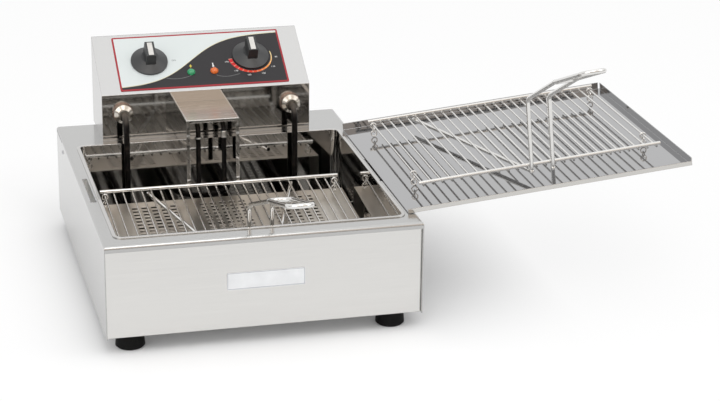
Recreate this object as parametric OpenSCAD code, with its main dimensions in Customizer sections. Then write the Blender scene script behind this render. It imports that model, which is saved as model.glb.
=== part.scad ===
// Countertop doughnut fryer: a folded steel body with a drop-in frying tank, a control head at the back,
// a crumb screen over the heating element, two lift-out wire racks and a drain tray hooked on the right.
// Fryer frame: X to the right from the middle of the body, Y to the back from the front lip, Z up from
// the table. Every node is then moved so that the origin is the middle of the whole part at table level.

/* [Body] */
// Width over the side panels
body_w = 430; // [400:1:480]
// Width of the deck strip behind the tank
strip_back = 102; // [98:1:112]
// Height of the deck above the table
deck_z = 156; // [150:1:190]
// Thickness of the folded steel sheet
sheet = 1.2; // [0.8:0.1:1.6]
// Outside radius of the long folds between deck and sides
fold_r = 4; // [3:0.5:6]
// Outside radius of the fold at the front of the deck
front_fold_r = 5; // [3:0.5:6]
// Height of the lip that the deck turns down over the front panel
front_lip_h = 9; // [7:0.5:12]
// Setback of the front panel behind the lip
front_recess = 4; // [3:0.5:6]
// Upstand of the base pan
base_lip_h = 14; // [8:1:20]

/* [Feet] */
// Height of a rubber foot
foot_h = 25; // [20:1:35]
// Diameter of a foot where it stands
foot_d = 40; // [30:1:46]
// Diameter of a foot where it meets the base
foot_top_d = 36; // [28:1:40]
// Distance of a foot's middle from the side and the front of the body
foot_inset = 36; // [35:1:60]

/* [Tank] */
// Width of the deck strip on each side of the tank
strip_side = 20; // [18:0.5:26]
// Width of the deck strip in front of the tank
strip_front = 29; // [24:0.5:36]
// Length of the tank opening from front to back
tank_l = 384; // [370:1:400]
// Depth of the tank below the deck
tank_drop = 118; // [116:1:122]
// Inside radius of the tank's upright corners
tank_r = 9; // [6:0.5:16]
// Width of the tank's rim on the deck
rim_w = 3.5; // [2.5:0.5:5]
// Height of the tank's rim above the deck
rim_h = 1.4; // [1:0.1:2]

/* [Control head] */
// Width of the control head
head_w = 313; // [300:1:340]
// Depth of the control head
head_d = 103; // [96:1:120]
// Height of the head's upright front face
head_face_h = 70; // [66:1:90]
// Rise of the sloping fascia over the head's depth
head_rise = 62; // [50:1:74]
// Deck strip between the tank opening and the head
head_gap = 19; // [16:1:26]

/* [Fascia] */
// Width of the printed fascia panel
panel_w = 254; // [240:1:270]
// Length of the fascia panel up the slope
panel_l = 108; // [102:1:112]
// Thickness of the fascia panel
panel_t = 0.8; // [0.5:0.1:1.2]
// Distance between the two knobs
knob_gap = 154; // [140:1:168]
// Diameter of a knob's skirt
knob_d = 55; // [46:1:60]
// Height of a knob
knob_h = 28; // [24:1:32]
// Width of a knob's raised grip
grip_w = 16; // [13:0.5:20]
// Length of a knob's raised grip
grip_l = 31; // [29:0.5:36]
// Diameter of a control spindle
spindle_d = 6; // [5:0.5:8]
// Distance between the two lamps
lamp_gap = 35; // [28:1:44]
// Diameter of a lamp's lens
lamp_d = 12; // [10:0.5:15]

/* [Element and probes] */
// Diameter of the heating element's tube
element_d = 8.5; // [7:0.5:11]
// Distance between the element's two upright legs
element_gap = 252; // [237:3:264]
// Height of the element's glands above the deck
gland_rise = 43; // [36:1:48]
// Diameter of a gland nut
gland_d = 28; // [24:1:32]
// Bend radius of the element's upright bends
element_bend_r = 16; // [13:0.5:17]
// Clear height of the element's runs above the tank floor
element_lift = 8; // [6:0.5:10]
// Diameter of a temperature probe
probe_d = 7; // [5:0.5:8]
// Distance between the two probes
probe_gap = 38; // [30:1:44]

/* [Probe guard] */
// Width of the guard channel
guard_w = 78; // [70:1:90]
// Offset of the guard from the middle, to the left
guard_offset = 8; // [0:1:14]
// Reach of the guard in front of the head
guard_reach = 92; // [84:1:96]
// Height of the guard's top above the deck
guard_rise = 53; // [46:1:58]
// Depth of the guard below the deck
guard_drop = 44; // [36:1:50]

/* [Crumb screen] */
// Depth of the screen's top below the deck
screen_drop = 65; // [60:1:66]
// Slope of the screen and the frying rack, down to the front
screen_slope = 5; // [3:0.5:5.5]
// Length of a screen slot
slot_l = 9.6; // [8:0.2:11]
// Width of a screen slot
slot_w = 6; // [4:0.2:7]
// Slot pitch across the screen
slot_pitch_x = 14; // [13:0.2:16]
// Slot pitch from front to back
slot_pitch_y = 11; // [9:0.2:13]
// Width of the plain bands between the three slotted fields
band_w = 20; // [14:1:26]

/* [Racks] */
// Diameter of a rack's rails
rail_d = 5; // [4:0.2:6]
// Diameter of a rack's wires
wire_d = 2.8; // [2.2:0.2:3.6]
// Number of gaps between the wires
wire_gaps = 25; // [18:1:28]
// Height of the rails above what the rack stands on
stand_h = 22; // [21:0.5:26]
// Diameter of the handle wire
handle_d = 6; // [5:0.2:7]
// Distance between the handle's two legs
handle_gap = 31; // [26:1:40]
// Height of the handle's legs above the rails
leg_h = 89; // [80:1:104]
// Length of the handle's rising bars
bar_l = 128; // [100:1:160]
// Rise of the handle's bars
bar_angle = 26.5; // [23:0.5:30]
// Length of the straight sides of the handle's closed hand loop
hand_l = 110; // [80:1:130]
// Rise of the hand loop
hand_angle = 21.5; // [16:0.5:22]
// Diameter of the foot links' wire
link_d = 2; // [1.6:0.1:2.4]
// Links in each foot
link_count = 3; // [2:1:3]

/* [Drain tray] */
// Room on the tray at each end of the rack
tray_room = 29; // [24:0.5:40]
// Height of the tray's rear and end lips
tray_lip_h = 10; // [8:0.5:16]
// Height of the tray's front lip
tray_front_lip_h = 5; // [4:0.5:8]
// Slope of the tray back to the tank
tray_tilt = 5.5; // [3:0.1:7]
// Reach of the tray's left edge in over the deck strip
tray_lap = 12; // [10.5:0.5:13]
// Length of the hook slot in the deck
hook_slot_l = 100; // [80:1:130]
// Width of the hook slot in the deck
hook_slot_w = 6.5; // [5:0.5:7]
// Depth of the tray's stay below the deck
stay_h = 48; // [30:1:70]

/* [Hidden] */
$fn = 64;

// Overrun of every cut past the surface that it leaves
over = 1;
// Gap between pieces that lie against each other
fit = 0.3;
// Hair gap between pieces that bear on each other
touch = 0.05;
// Running gap of a spindle in its bush
run_fit = 0.05;
// Depth that crossed wires are welded into each other
weld = 0.4;
// A bend's tube is this much thicker than the straight tube that enters it
swell = 0.2;
// Length that a straight tube enters a bend
lap = 0.5;

// Body
body_d = strip_front + tank_l + strip_back;
inside_w = body_w - 2*sheet;
seam = fit;
panel_y = sheet + front_recess;
panel_flange = 10;

// Feet
foot_screw_d = 6;
foot_screw_head_d = 12;
foot_screw_head_h = 4;
foot_recess_h = 8;
foot_edge = 2.5;
foot_places = [for (sx = [-1, 1], front = [1, 0])
  [sx*(body_w/2 - foot_inset), front == 1 ? foot_inset : body_d - foot_inset]];

// Tank
tank_w = body_w - 2*strip_side;
tank_y = strip_front;
tank_back_y = tank_y + tank_l;
tank_floor_z = deck_z - tank_drop;
tank_mid_y = tank_y + tank_l/2;
tank_in_w = tank_w - 2*(fit + sheet);
tank_in_l = tank_l - 2*(fit + sheet);
tank_in_y = tank_y + fit + sheet;

// Head
head_y = tank_back_y + head_gap;
head_back_y = head_y + head_d;
slope = atan2(head_rise, head_d);
slope_l = norm([head_d, head_rise]);
head_top_z = deck_z + head_face_h + head_rise;
cover_ledge = 12;
gland_hole_d = 20;
gland_x = 110;
gland_up = 30;
gland_z = deck_z + gland_up;
gland_flange_d = 27;
gland_flange_h = 5;
gland_cap_d = 24;
gland_cap_h = 14;
gland_cap_tip_d = 18;
gland_bore_d = 9;
gland_tail = 9;
gland_nut_h = 5;

// Fascia
panel_margin = (slope_l - panel_l)/2;
knob_up = 1.5;
knob_s = slope_l/2 + knob_up;
lamp_s = 35.5;
panel_r = 2;
panel_top = touch + panel_t;
bush_d = 10;
bush_h = 9;
nut_d = 16;
nut_h = 2.4;
nut_room_d = 20;
nut_room_h = 4.5;
knob_gap_h = 0.6;
skirt_edge_h = 2.5;
skirt_crown_h = 11;
skirt_crown_d = 26;
grip_taper = 1.2;
grip_round = 1;
knob_bore_l = 12;
pointer_w = 7.5;
pointer_l = 25;
pointer_t = 0.8;
control_w = 38;
control_h = 34;
control_bore_l = 12;
thermostat_w = 44;
thermostat_h = 30;
lamp_body_d = 9.5;
lamp_body_l = 26;
lamp_flange_h = 1.4;
lamp_dome_h = 4;
lamp_clip_d = 14;
lamp_clip_h = 3;

// Pieces on the floor of the head
cutout_size = [42, 30, 28];
cutout_x = -95;
cutout_cap_d = 24;
cutout_cap_h = 6;
block_size = [66, 24, 20];
block_x = 70;
block_poles = 5;
block_groove_w = 1.6;
block_groove_h = 8;
block_hole_d = 5;
shelf_back_y = body_d - cover_ledge - fit;

// Element
leg_x = element_gap/2;
gland_line_z = deck_z + gland_rise;
element_z = tank_floor_z + sheet + element_lift + element_d/2;
element_runs = 4;
run_pitch = element_gap/(element_runs - 1);
turn_r = run_pitch/2;
turn_front_gap = 26;
turn_back_gap = 12;
element_front_y = tank_in_y + turn_front_gap + turn_r;
element_tail = 34;
ferrule_d = 14;
gland_len = 12;
gland_nose_d = 17;
gland_nose_l = 5;
gland_shoulder = 3;
nose_gap = 1.4;
washer_d = 31;
washer_t = 1.6;
element_y = head_y - washer_t - gland_len - gland_nose_l - nose_gap - element_bend_r;
element_back_y = element_y - element_bend_r - turn_r - turn_back_gap;

// Probe guard
guard_x = -guard_offset;
guard_y = head_y - guard_reach;
guard_top_z = deck_z + guard_rise;
guard_flange = 4;
guard_lip_h = 4.5;
probe_inset = 16;
probe_y = guard_y + probe_inset;
probe_bend_r = 12;
probe_tail = 22;
probe_drop = 52;
probe_top_gap = 12;
probe_line_z = guard_top_z - sheet - probe_top_gap;

// Crumb screen
screen_side_gap = 9;
screen_front_gap = 4;
screen_back_reach = 2;
screen_w = tank_in_w - 2*screen_side_gap;
screen_z = deck_z - screen_drop;
fields = 3;
field_pitch = 100;
screen_margin = 9;
screen_leg_w = 60;
screen_leg_z = tank_floor_z + sheet + fit;
field_w = field_pitch - band_w;
slot_cols = floor(field_w/slot_pitch_x);

// Racks
rack_side_gap = 17.5;
rack_back_gap = 7;
leg_wall_gap = 7;
rack_w = tank_in_w - 2*rack_side_gap;
rack_back_y = guard_y - rack_back_gap;
// Length between the rails, so that the leaning legs of the handle clear the tank's front wall at its rim
rack_room_l = rack_back_y - tank_in_y - leg_wall_gap - (screen_drop + rim_h)*tan(screen_slope);
rack_l = rack_room_l*cos(screen_slope) - rail_d/2 - handle_d - touch;
// Length of the screen in front of the rack's rear rail
screen_front_l = (rack_back_y - tank_in_y - screen_front_gap)/cos(screen_slope);
slot_rows = floor((screen_front_l - 2*screen_margin)/slot_pitch_y);
wire_inset = 6;
wire_end = rail_d/2;
wire_z = stand_h - rail_d/2 - wire_d/2 + weld;
wire_pitch = (rack_w - 2*wire_inset)/wire_gaps;
brace_half = 106;
brace_z = wire_z - wire_d/2 - handle_d/2 - touch;
ball_swell = 1.2;
ball_d = handle_d + ball_swell;
knot_swell = 0.6;
knot_d = handle_d + knot_swell;
handle_y = -(rail_d + handle_d)/2 - touch;
leg_x_rack = handle_gap/2;
leg_bend_r = 14;
link_front_y = 51;
// Mean radius of a link, so that the run just reaches from the wire to what the rack stands on
link_r = (wire_z + (link_count - 1)*link_d + wire_d/2 + link_count*fit)/(2*link_count);
link_back_gap = rail_d/2 + link_r + link_d/2 + fit;

// Drain tray
tray_x = body_w/2 - tray_lap;
tray_l = rack_w + 2*tray_room;
tray_end_gap = 7;
tray_w = tank_l - 2*tray_end_gap;
tray_y = tank_y + tray_end_gap;
hook_inset = 10.5;
hook_x = body_w/2 - hook_inset;
hook_slot_y = 172;
hook_eye_d = 9;
hook_t = 2;
hook_l = 62;
hook_drop = 14;
// Pocket under each hook slot: width, depth and the room beyond the slot's ends
pocket_w = 10;
pocket_h = 17;
pocket_room = 2;
stay_t = 1.5;
stay_l = 150;
stay_foot = 26;
corner_gap = 3;
drain_rack_y = (tray_w - rack_l)/2;

// Reach of the whole part, which sets its origin
tip_y = handle_y - leg_bend_r*(1 - sin(bar_angle)) - bar_l*cos(bar_angle)
  - (hand_l + leg_x_rack)*cos(hand_angle);
tip_z = fit + stand_h + leg_h + leg_bend_r*cos(bar_angle) + bar_l*sin(bar_angle)
  + (hand_l + leg_x_rack)*sin(hand_angle);
fry_tip_y = rack_back_y + (tip_y - rack_l)*cos(screen_slope) - tip_z*sin(screen_slope);
drain_tip_y = tray_y + drain_rack_y + tip_y;
front_reach = min(fry_tip_y, drain_tip_y) - (handle_d + swell)/2;
right_reach = tray_x + tray_l*cos(tray_tilt);
mid_x = (right_reach - body_w/2)/2;
back_reach = head_back_y + gland_flange_h + gland_cap_h;
mid_y = (back_reach + front_reach)/2;

steel = "gainsboro";
mirror_steel = "silver";
dark = "dimgray";

module place() {
  translate([-mid_x, -mid_y, 0]) children();
}

// A flat rectangle with round corners, centred on the origin
module rounded_rect(w, l, r) {
  square([w - 2*r, l], center = true);
  square([w, l - 2*r], center = true);
  for (sx = [-1, 1], sy = [-1, 1])
    translate([sx*(w/2 - r), sy*(l/2 - r)]) circle(r = r);
}

// A box centred in X that starts at the given Y and Z
module box(w, y, l, z, h) {
  translate([-w/2, y, z]) cube([w, l, h]);
}

// A round bar between two points
module bar(a, b, d) {
  v = b - a;
  translate(a)
    rotate([0, acos(v.z/norm(v)), atan2(v.y, v.x)])
      cylinder(d = d, h = norm(v));
}

// A quarter or other part of a bent tube: it starts at the origin along +Z and bends towards +Y
module tube_bend(r, d, angle) {
  translate([0, r, 0]) rotate([90, 0, -90]) rotate_extrude(angle = angle)
    translate([r, 0]) circle(d = d + swell);
}

// Half turn of a tube, from +X through +Y to -X
module tube_turn(r, d) {
  rotate_extrude(angle = 180) translate([r, 0]) circle(d = d + swell);
}

// Folded solid of the casing, inset by one skin from its outside
module casing_form(skin) {
  w = body_w - 2*skin;
  h = deck_z - skin - foot_h;
  intersection() {
    translate([0, body_d + over, foot_h]) rotate([90, 0, 0]) linear_extrude(body_d + 2*over) {
      translate([-w/2, -over]) square([w, h + over - fold_r + skin]);
      translate([-w/2 + fold_r - skin, -over]) square([w - 2*(fold_r - skin), h + over]);
      for (sx = [-1, 1])
        translate([sx*(w/2 - fold_r + skin), h - fold_r + skin]) circle(r = fold_r - skin);
    }
    translate([-body_w, 0, foot_h]) rotate([90, 0, 90]) linear_extrude(2*body_w) {
      translate([skin, -over]) square([body_d + over, h + over - front_fold_r + skin]);
      translate([front_fold_r, -over]) square([body_d + over, h + over]);
      translate([front_fold_r, h - front_fold_r + skin]) circle(r = front_fold_r - skin);
    }
  }
}

// Long slot with a round eye at its front end, as the tray hook enters it
module hook_slot() {
  translate([0, hook_slot_y, deck_z - sheet - over]) linear_extrude(sheet + 2*over) {
    translate([-hook_slot_w/2, hook_slot_w/2])
      square([hook_slot_w, hook_slot_l - hook_slot_w]);
    translate([0, hook_slot_l - hook_slot_w/2]) circle(d = hook_slot_w);
    translate([0, hook_eye_d/2]) circle(d = hook_eye_d);
  }
}

module casing() {
  color(steel) difference() {
    intersection() {
      casing_form(0);
      box(body_w + over, 0, body_d, foot_h, deck_z);
    }
    casing_form(sheet);
    box(inside_w, -over, sheet + 2*over, foot_h - over, deck_z - front_lip_h - foot_h + over);
    translate([0, tank_mid_y, deck_z - sheet - over])
      linear_extrude(sheet + 2*over) rounded_rect(tank_w, tank_l, tank_r + sheet + fit);
    for (sx = [-1, 1]) translate([sx*hook_x, 0, 0]) hook_slot();
  }
}

// Closed pocket under each slot, which takes the tray hook and keeps drips out of the body
module hook_pockets() {
  y = hook_slot_y - pocket_room;
  l = hook_slot_l + 2*pocket_room;
  top_z = deck_z - sheet - touch;
  color(steel) for (sx = [-1, 1]) translate([sx*hook_x, 0, 0]) difference() {
    box(pocket_w + 2*sheet, y - sheet, l + 2*sheet, top_z - pocket_h - sheet, pocket_h + sheet);
    box(pocket_w, y, l, top_z - pocket_h, pocket_h + over);
  }
}

// Flat end panel from side to side, with its top corners inside the folds of the casing
module end_panel(y) {
  intersection() {
    casing_form(sheet + seam);
    box(body_w, y, sheet, foot_h, deck_z);
  }
}

module front_panel() {
  color(steel) {
    end_panel(panel_y);
    box(inside_w - 2*seam, panel_y, panel_flange, foot_h, sheet);
  }
}

module rear_panel() {
  color(steel) {
    end_panel(body_d - sheet);
    box(inside_w - 2*seam, body_d - panel_flange, panel_flange, foot_h, sheet);
  }
}

module base_pan() {
  pan_w = inside_w - 2*seam;
  pan_y = panel_y + sheet + seam;
  pan_l = body_d - sheet - seam - pan_y;
  pan_z = foot_h + sheet;
  color(steel) difference() {
    box(pan_w, pan_y, pan_l, pan_z, base_lip_h);
    box(pan_w - 2*sheet, pan_y + sheet, pan_l - 2*sheet, pan_z + sheet, base_lip_h);
    for (p = foot_places)
      translate([p.x, p.y, pan_z - over]) cylinder(d = foot_screw_d + 2*fit, h = sheet + 2*over);
  }
}

module feet() {
  color(dark) for (p = foot_places) translate([p.x, p.y, 0]) rotate_extrude()
    difference() {
      polygon([
        [0, 0], [foot_d/2 - foot_edge, 0], [foot_d/2, foot_edge],
        [foot_top_d/2, foot_h], [foot_top_d/2, foot_h + sheet], [0, foot_h + sheet]
      ]);
      translate([-over, foot_recess_h])
        square([foot_screw_d/2 + fit + over, foot_h]);
      translate([-over, -over])
        square([foot_screw_head_d/2 + fit + over, foot_recess_h + over]);
    }
}

module foot_screws() {
  color(mirror_steel) for (p = foot_places) translate([p.x, p.y, 0]) {
    translate([0, 0, foot_recess_h - foot_screw_head_h])
      cylinder(d = foot_screw_head_d, h = foot_screw_head_h);
    translate([0, 0, foot_recess_h]) cylinder(d = foot_screw_d, h = foot_h + sheet);
  }
}

module tank() {
  floor_h = deck_z - tank_floor_z;
  color(mirror_steel) difference() {
    translate([0, tank_mid_y, 0]) {
      translate([0, 0, tank_floor_z]) linear_extrude(floor_h + rim_h)
        rounded_rect(tank_w - 2*fit, tank_l - 2*fit, tank_r + sheet);
      translate([0, 0, deck_z]) linear_extrude(rim_h)
        rounded_rect(tank_w + 2*rim_w, tank_l + 2*rim_w, tank_r + sheet + rim_w);
    }
    translate([0, tank_mid_y, tank_floor_z + sheet]) linear_extrude(floor_h + rim_h)
      rounded_rect(tank_in_w, tank_in_l, tank_r);
  }
}

// Places something on the sloping fascia, with its X across and its Y up the slope
module on_fascia(x, s) {
  translate([x, head_y + s*cos(slope), deck_z + head_face_h + s*sin(slope)])
    rotate([slope, 0, 0]) children();
}

// Side outline of the head in Y and Z, inset by one skin under the face and the fascia
module head_outline(skin, tail) {
  drop = skin/cos(slope);
  polygon([
    [skin, -tail],
    [skin, head_face_h + skin*tan(slope) - drop],
    [head_d + tail, head_face_h + (head_d + tail)*tan(slope) - drop],
    [head_d + tail, -tail]
  ]);
}

module head_casing() {
  color(steel) difference() {
    translate([-head_w/2, head_y, deck_z]) rotate([90, 0, 90])
      linear_extrude(head_w) head_outline(0, 0);
    translate([-head_w/2 + sheet, head_y, deck_z]) rotate([90, 0, 90])
      linear_extrude(head_w - 2*sheet) head_outline(sheet, over);
    for (sx = [-1, 1]) {
      on_fascia(sx*knob_gap/2, knob_s) translate([0, 0, -2*sheet])
        cylinder(d = bush_d + 2*fit, h = 3*sheet);
      on_fascia(sx*lamp_gap/2, lamp_s) translate([0, 0, -2*sheet])
        cylinder(d = lamp_body_d + 2*fit, h = 3*sheet);
      translate([sx*leg_x, head_y - over, gland_line_z]) rotate([-90, 0, 0])
        cylinder(d = ferrule_d + 2*fit, h = sheet + 2*over);
      translate([guard_x + sx*probe_gap/2, head_y - over, probe_line_z]) rotate([-90, 0, 0])
        cylinder(d = probe_d + 2*fit, h = sheet + 2*over);
    }
  }
}

module head_rear_cover() {
  cover_w = head_w - 2*sheet - 2*seam;
  cover_top = head_top_z - (2*sheet + seam)/cos(slope);
  color(steel) difference() {
    union() {
      box(cover_w, head_back_y - sheet, sheet, deck_z + seam, cover_top - deck_z - seam - sheet);
      box(cover_w, body_d - cover_ledge, head_back_y - body_d + cover_ledge, deck_z + seam, sheet);
    }
    translate([gland_x, head_back_y - sheet - over, gland_z]) rotate([-90, 0, 0])
      cylinder(d = gland_hole_d + 2*fit, h = sheet + 2*over);
  }
}

// Inlet of the mains lead: flange and cap outside, lock nut inside, bored through
module cable_gland() {
  color(dark) translate([gland_x, head_back_y, gland_z]) rotate([-90, 0, 0]) difference() {
    union() {
      cylinder(d = gland_flange_d, h = gland_flange_h);
      translate([0, 0, gland_flange_h])
        cylinder(d1 = gland_cap_d, d2 = gland_cap_tip_d, h = gland_cap_h);
      translate([0, 0, -sheet - gland_tail]) cylinder(d = gland_hole_d, h = gland_tail + 2*sheet);
      translate([0, 0, -sheet - gland_nut_h]) cylinder(d = gland_flange_d, h = gland_nut_h);
    }
    translate([0, 0, -sheet - gland_tail - over])
      cylinder(d = gland_bore_d, h = gland_tail + gland_flange_h + gland_cap_h + sheet + 2*over);
  }
}

module fascia_panel() {
  color("whitesmoke") on_fascia(0, panel_margin + panel_l/2) difference() {
    translate([0, 0, touch]) linear_extrude(panel_t) rounded_rect(panel_w, panel_l, panel_r);
    for (sx = [-1, 1]) {
      translate([sx*knob_gap/2, knob_s - panel_margin - panel_l/2, -over])
        cylinder(d = nut_d + 2*fit, h = panel_top + 2*over);
      translate([sx*lamp_gap/2, lamp_s - panel_margin - panel_l/2, -over])
        cylinder(d = lamp_body_d + 2*fit, h = panel_top + 2*over);
    }
  }
}

module control_nuts() {
  color(mirror_steel) for (sx = [-1, 1]) on_fascia(sx*knob_gap/2, knob_s) difference() {
    translate([0, 0, touch]) cylinder(d = nut_d, h = nut_h, $fn = 6);
    translate([0, 0, -over]) cylinder(d = bush_d + 2*run_fit, h = nut_h + 2*over);
  }
}

// Rotary control behind the fascia: a case, a threaded bush through the fascia and a bore for the spindle
module control_body(w, h) {
  difference() {
    union() {
      translate([-w/2, -w/2, -sheet - touch - h]) cube([w, w, h]);
      translate([0, 0, -sheet - over]) cylinder(d = bush_d, h = bush_h - nut_h);
    }
    translate([0, 0, -sheet - control_bore_l])
      cylinder(d = spindle_d + 2*run_fit, h = control_bore_l + bush_h);
  }
}

module switch_body() {
  color("ivory") on_fascia(-knob_gap/2, knob_s) control_body(control_w, control_h);
}

module thermostat_body() {
  color("ivory") on_fascia(knob_gap/2, knob_s) control_body(thermostat_w, thermostat_h);
}

knob_z = panel_top + knob_gap_h;

module spindle() {
  translate([0, 0, -sheet - control_bore_l + fit])
    cylinder(d = spindle_d, h = sheet + control_bore_l + knob_z + nut_room_h + knob_bore_l - 2*fit);
}

module switch_spindle() {
  color(mirror_steel) on_fascia(-knob_gap/2, knob_s) spindle();
}

module thermostat_spindle() {
  color(mirror_steel) on_fascia(knob_gap/2, knob_s) spindle();
}

// Block under the knob's height whose two sides lean in towards its top, drawn out to a length
module leaning_block(w, l) {
  translate([0, 0, -l/2]) linear_extrude(l) polygon([
    [-w/2, 0], [w/2, 0], [w/2 - grip_taper, knob_h], [-w/2 + grip_taper, knob_h]
  ]);
}

// Knob with a conical skirt and a raised grip across it, which carries the pointer strip
module knob() {
  translate([0, 0, knob_z]) difference() {
    union() {
      rotate_extrude() polygon([
        [0, 0], [knob_d/2, 0], [knob_d/2, skirt_edge_h],
        [skirt_crown_d/2, skirt_crown_h], [0, skirt_crown_h]
      ]);
      intersection() {
        rotate([90, 0, 0]) leaning_block(grip_w, grip_l);
        rotate([90, 0, 90]) leaning_block(grip_l, grip_w);
        cylinder(d = grip_l + grip_round, h = knob_h);
      }
    }
    translate([0, 0, -over]) cylinder(d = nut_room_d, h = nut_room_h + over);
    cylinder(d = spindle_d + 2*run_fit, h = nut_room_h + knob_bore_l);
    translate([-pointer_w/2 - fit, -pointer_l/2 - fit, knob_h - pointer_t])
      cube([pointer_w + 2*fit, pointer_l + 2*fit, pointer_t + over]);
  }
}

module pointer() {
  translate([-pointer_w/2, -pointer_l/2, knob_z + knob_h - pointer_t + touch])
    cube([pointer_w, pointer_l, pointer_t]);
}

module switch_knob() {
  color("#1b1b1d") on_fascia(-knob_gap/2, knob_s) knob();
}

module switch_pointer() {
  color("lightgray") on_fascia(-knob_gap/2, knob_s) pointer();
}

module thermostat_knob() {
  color("#1b1b1d") on_fascia(knob_gap/2, knob_s) knob();
}

module thermostat_pointer() {
  color("lightgray") on_fascia(knob_gap/2, knob_s) pointer();
}

// Lamp lens: a flange on the fascia panel under a low dome
module lamp_lens() {
  translate([0, 0, panel_top + touch]) {
    cylinder(d = lamp_d, h = lamp_flange_h);
    translate([0, 0, lamp_flange_h]) intersection() {
      cylinder(d = lamp_d, h = lamp_dome_h);
      translate([0, 0, lamp_dome_h - dome_r]) sphere(r = dome_r);
    }
  }
}

dome_r = (pow(lamp_d/2, 2) + pow(lamp_dome_h, 2))/(2*lamp_dome_h) - weld;

module green_lamp() {
  color("limegreen") on_fascia(-lamp_gap/2, lamp_s) lamp_lens();
}

module amber_lamp() {
  color("orange") on_fascia(lamp_gap/2, lamp_s) lamp_lens();
}

module lamp_bodies() {
  color("ivory") for (sx = [-1, 1]) on_fascia(sx*lamp_gap/2, lamp_s) {
    translate([0, 0, panel_top - lamp_body_l]) cylinder(d = lamp_body_d, h = lamp_body_l);
    translate([0, 0, -sheet - touch - lamp_clip_h]) cylinder(d = lamp_clip_d, h = lamp_clip_h);
  }
}

module safety_cutout() {
  color("ivory") translate([cutout_x, shelf_back_y - cutout_size.y, deck_z]) {
    translate([-cutout_size.x/2, 0, 0]) cube(cutout_size);
    translate([0, cutout_size.y/2, cutout_size.z])
      cylinder(d = cutout_cap_d, h = cutout_cap_h);
  }
}

module terminal_block() {
  pole = block_size.x/block_poles;
  block_y = shelf_back_y - block_size.y;
  color("ivory") translate([block_x - block_size.x/2, block_y, deck_z]) difference() {
    cube(block_size);
    for (i = [1 : block_poles - 1])
      translate([i*pole - block_groove_w/2, -over, block_size.z - block_groove_h])
        cube([block_groove_w, block_size.y + 2*over, block_groove_h + over]);
    for (i = [0 : block_poles - 1])
      translate([(i + 1/2)*pole, block_size.y/2, block_size.z - block_groove_h])
        cylinder(d = block_hole_d, h = block_groove_h + over);
  }
}

// One upright leg of the element: out of the head, down the back of the tank and forward under the screen
module element_leg() {
  top_y = element_y + element_bend_r;
  low_z = element_z + element_bend_r;
  run_y = element_y - element_bend_r;
  translate([0, top_y - lap, gland_line_z]) rotate([-90, 0, 0])
    cylinder(d = element_d, h = head_y + sheet + element_tail - top_y + lap);
  translate([0, element_y, gland_line_z - element_bend_r])
    tube_bend(element_bend_r, element_d, 90);
  translate([0, element_y, low_z - lap])
    cylinder(d = element_d, h = gland_line_z - element_bend_r - low_z + 2*lap);
  translate([0, element_y, low_z]) rotate([180, 0, 0])
    tube_bend(element_bend_r, element_d, 90);
  element_run(element_front_y, run_y);
}

// Straight run of the element under the screen
module element_run(y0, y1) {
  translate([0, y0 - lap, element_z]) rotate([-90, 0, 0])
    cylinder(d = element_d, h = y1 - y0 + 2*lap);
}

module heating_element() {
  color("#2a2826") {
    for (sx = [-1, 1]) {
      translate([sx*leg_x, 0, 0]) element_leg();
      translate([sx*turn_r, 0, 0]) element_run(element_front_y, element_back_y);
      translate([sx*(leg_x + turn_r)/2, element_front_y, element_z])
        rotate([0, 0, 180]) tube_turn(turn_r, element_d);
    }
    translate([0, element_back_y, element_z]) tube_turn(turn_r, element_d);
  }
}

module element_glands() {
  color("tan") for (sx = [-1, 1])
    translate([sx*leg_x, head_y - washer_t, gland_line_z]) rotate([90, 0, 0]) difference() {
      union() {
        cylinder(d = gland_d, h = gland_len - gland_shoulder);
        translate([0, 0, gland_len - gland_shoulder])
          cylinder(d1 = gland_d, d2 = gland_nose_d, h = gland_shoulder);
        translate([0, 0, gland_len]) cylinder(d = gland_nose_d, h = gland_nose_l);
        translate([0, 0, -washer_t - sheet - gland_len])
          cylinder(d = ferrule_d, h = gland_len + sheet + washer_t + over);
      }
      translate([0, 0, -washer_t - sheet - gland_len - over])
        cylinder(d = element_d + 2*run_fit, h = 2*gland_len + gland_nose_l + sheet + washer_t + 2*over);
    }
}

module gland_washers() {
  color("peru") for (sx = [-1, 1])
    translate([sx*leg_x, head_y, gland_line_z]) rotate([90, 0, 0]) difference() {
      cylinder(d = washer_d, h = washer_t);
      translate([0, 0, -over]) cylinder(d = ferrule_d + 2*fit, h = washer_t + 2*over);
    }
}

// Guard over the probes: a folded channel, open at its front and bottom, with small front flanges
module probe_guard() {
  in_w = guard_w - 2*sheet;
  low_z = deck_z - guard_drop;
  wall_y = tank_in_y + tank_in_l - seam;
  color(mirror_steel) translate([guard_x, 0, 0]) difference() {
    union() {
      box(guard_w, guard_y, head_y - seam - guard_y, deck_z + rim_h + seam,
        guard_top_z - deck_z - rim_h - seam);
      box(guard_w, guard_y, wall_y - guard_y, low_z, deck_z + rim_h + seam + over - low_z);
    }
    box(in_w, guard_y + sheet, head_y - guard_y, low_z - over, guard_top_z - sheet - low_z + over);
    box(in_w - 2*guard_flange, guard_y - over, sheet + 2*over, low_z - over,
      guard_top_z - guard_lip_h - low_z + over);
  }
}

// Temperature probe: out of the head inside the guard, then down into the oil
module probe(x) {
  bend_y = probe_y + probe_bend_r;
  low_z = probe_line_z - probe_bend_r;
  tip_z = deck_z - probe_drop;
  translate([x, 0, 0]) {
    translate([0, bend_y - lap, probe_line_z]) rotate([-90, 0, 0])
      cylinder(d = probe_d, h = head_y + sheet + probe_tail - bend_y + lap);
    translate([0, probe_y, low_z]) tube_bend(probe_bend_r, probe_d, 90);
    translate([0, probe_y, tip_z]) cylinder(d = probe_d, h = low_z - tip_z + lap);
  }
}

module thermostat_probe() {
  color("#2a2826") probe(guard_x - probe_gap/2);
}

module cutout_probe() {
  color("#2a2826") probe(guard_x + probe_gap/2);
}

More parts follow.
